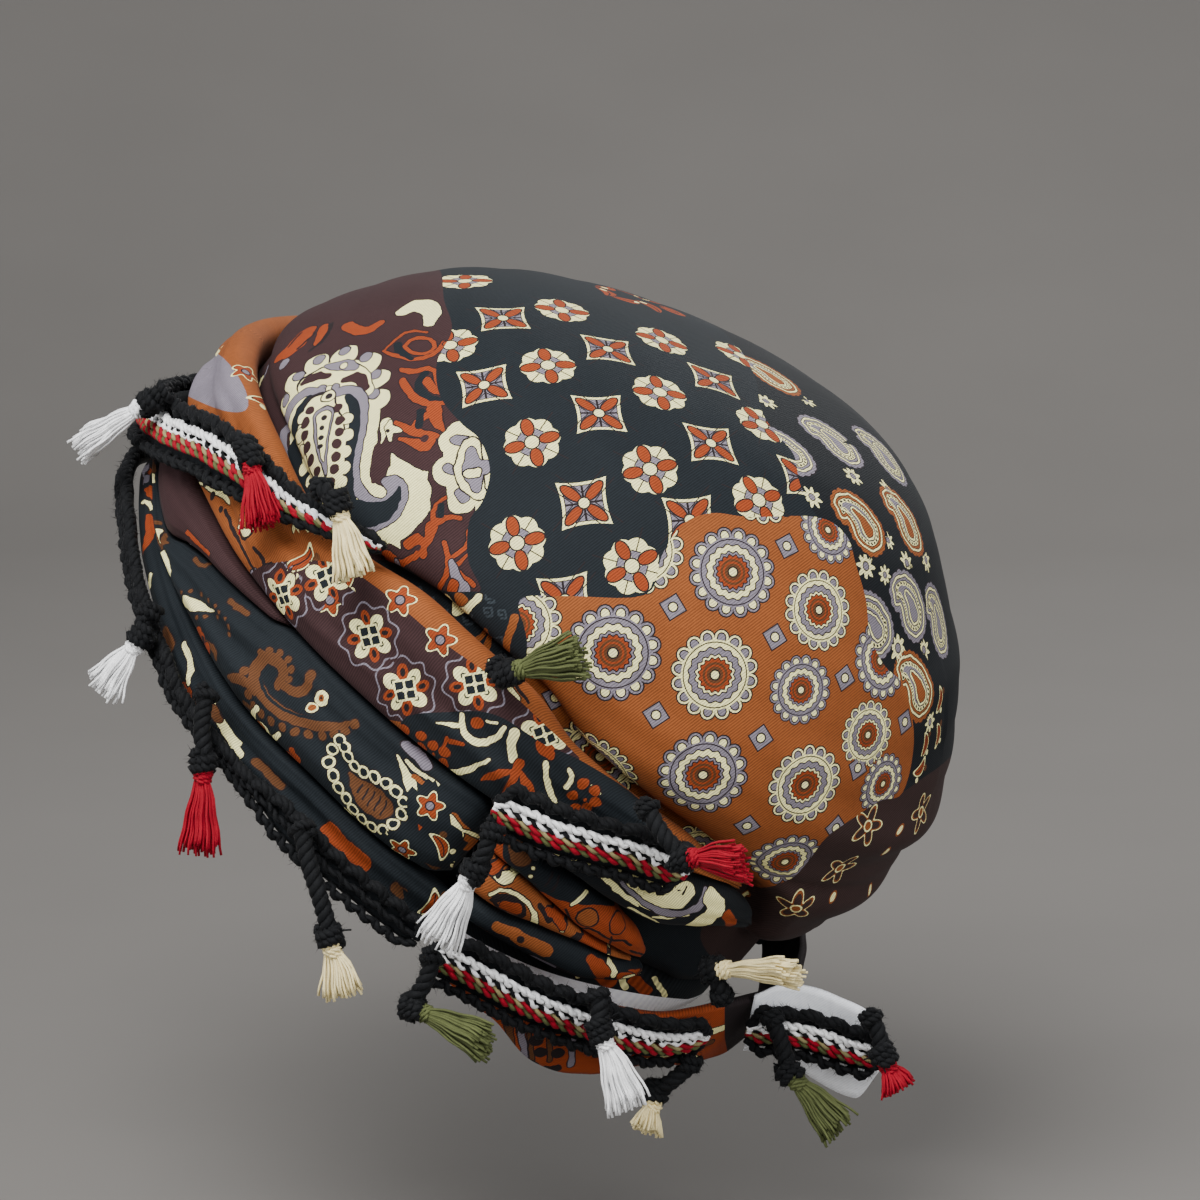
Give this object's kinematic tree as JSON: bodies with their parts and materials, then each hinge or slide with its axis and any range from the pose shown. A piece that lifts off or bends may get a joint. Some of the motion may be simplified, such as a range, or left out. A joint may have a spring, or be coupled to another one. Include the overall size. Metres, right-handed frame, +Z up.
{
  "type": "turban",
  "caption": "Pre-tied turban of patterned twill: soft domed crown, wound rolls round the rim, crocheted hem trim with tassels.",
  "frame": {"origin": "middle of the rim, where the head goes in", "axes": "+Z up as worn, -Y the way the wearer faces, +X the wearer's left; the rim is tipped down at the back"},
  "size_m": [0.2203, 0.2455, 0.2254],
  "materials": {
    "crown_twill": "printed cotton twill, matt, patches of rust, navy and maroon ground",
    "maroon_twill": "printed cotton twill, matt",
    "navy_twill": "printed cotton twill, matt",
    "cream_twill": "printed cotton twill, matt",
    "rust_twill": "printed cotton twill, matt",
    "lining_cotton": "plain white cotton, matt",
    "crochet_trim": "crocheted wool trim, fuzzy",
    "black_cord": "twisted wool cord, fuzzy",
    "white_fringe": "twisted strands, slight sheen",
    "red_fringe": "twisted strands, slight sheen",
    "cream_fringe": "twisted strands, slight sheen",
    "olive_fringe": "twisted strands, slight sheen"
  },
  "bodies": {
    "root": {"crown": "crown_twill", "lining": "lining_cotton", "wrap_upper": "maroon_twill", "wrap_middle": "navy_twill", "wrap_lower": "navy_twill", "front_fold": "maroon_twill", "back_band": "cream_twill", "gather_upper": "rust_twill", "gather_middle": "rust_twill", "gather_lower": "navy_twill", "tail": "rust_twill", "braid_front": "crochet_trim", "braid_side": "crochet_trim", "braid_rim": "crochet_trim", "braid_lower": "crochet_trim", "lining_flap": "lining_cotton", "braid_back": "crochet_trim", "tassel_01_cord": "black_cord", "tassel_01_skirt": "white_fringe", "tassel_02_cord": "black_cord", "tassel_02_skirt": "red_fringe", "tassel_03_cord": "black_cord", "tassel_03_skirt": "cream_fringe", "tassel_04_cord": "black_cord", "tassel_04_skirt": "olive_fringe", "tassel_05_cord": "black_cord", "tassel_05_skirt": "white_fringe", "tassel_06_cord": "black_cord", "tassel_06_skirt": "red_fringe", "tassel_07_cord": "black_cord", "tassel_07_skirt": "cream_fringe", "tassel_08_cord": "black_cord", "tassel_08_skirt": "white_fringe", "tassel_09_cord": "black_cord", "tassel_09_skirt": "olive_fringe", "tassel_10_cord": "black_cord", "tassel_10_skirt": "white_fringe", "tassel_11_cord": "black_cord", "tassel_11_skirt": "cream_fringe", "tassel_12_cord": "black_cord", "tassel_12_skirt": "red_fringe", "tassel_13_cord": "black_cord", "tassel_13_skirt": "cream_fringe", "tassel_14_cord": "black_cord", "tassel_14_skirt": "olive_fringe", "tassel_15_cord": "black_cord", "tassel_15_skirt": "red_fringe", "tassel_16_cord": "black_cord", "tassel_16_skirt": "olive_fringe", "tassel_17_cord": "black_cord", "tassel_17_skirt": "cream_fringe", "tassel_18_cord": "black_cord", "tassel_18_skirt": "red_fringe"}
  },
  "joints": []
}
